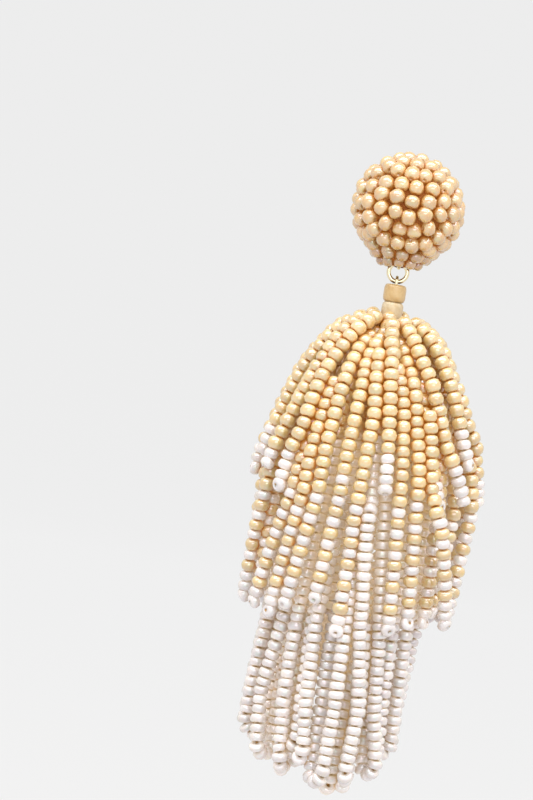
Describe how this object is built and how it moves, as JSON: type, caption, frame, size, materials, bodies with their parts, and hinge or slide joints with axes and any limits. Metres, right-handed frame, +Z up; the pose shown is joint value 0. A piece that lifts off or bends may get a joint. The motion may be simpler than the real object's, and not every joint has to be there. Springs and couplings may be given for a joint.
{
  "type": "tassel drop earring",
  "caption": "Beaded ball stud earring with a layered seed bead tassel that swings below it on a jump ring.",
  "frame": {"origin": "seat on the ear lobe: the middle of the post pad's back face", "axes": "+Z up along the hanging tassel, +Y back along the post, the front faces -Y"},
  "size_m": [0.0367, 0.0353, 0.1],
  "materials": {
    "post_steel": "polished wire",
    "gold_wire": "pale gold plating, bright",
    "ball_beads": "opaque lustred glass, beige cream",
    "cream_beads": "opaque lustred glass, warm cream",
    "neck_upper_glaze": "opaque glass, deeper cream",
    "neck_lower_glaze": "opaque glass, pale cream",
    "white_beads": "pearl white lustred glass",
    "beading_thread": "twisted nylon beading thread, beige"
  },
  "bodies": {
    "stud": {"ear_post": "post_steel", "beaded_ball": "ball_beads", "ball_eye": "gold_wire"},
    "ring": {"jump_ring": "gold_wire"},
    "drop": {"tassel_loop": "gold_wire", "neck_bead_upper": "neck_upper_glaze", "neck_bead_lower": "neck_lower_glaze", "upper_tier_fringe": "cream_beads", "middle_tier_fringe": "cream_beads", "lower_tier_fringe": "white_beads"}
  },
  "joints": [
    {"name": "ring_side_swing", "type": "hinge", "parent": "stud", "child": "ring", "pos_m": [0, -0.0083, -0.0093], "axis": [0, 1, 0], "range_deg": [-45, 45]},
    {"name": "drop_fore_swing", "type": "hinge", "parent": "ring", "child": "drop", "pos_m": [0, -0.0083, -0.01145], "axis": [1, 0, 0], "range_deg": [-45, 45]}
  ]
}
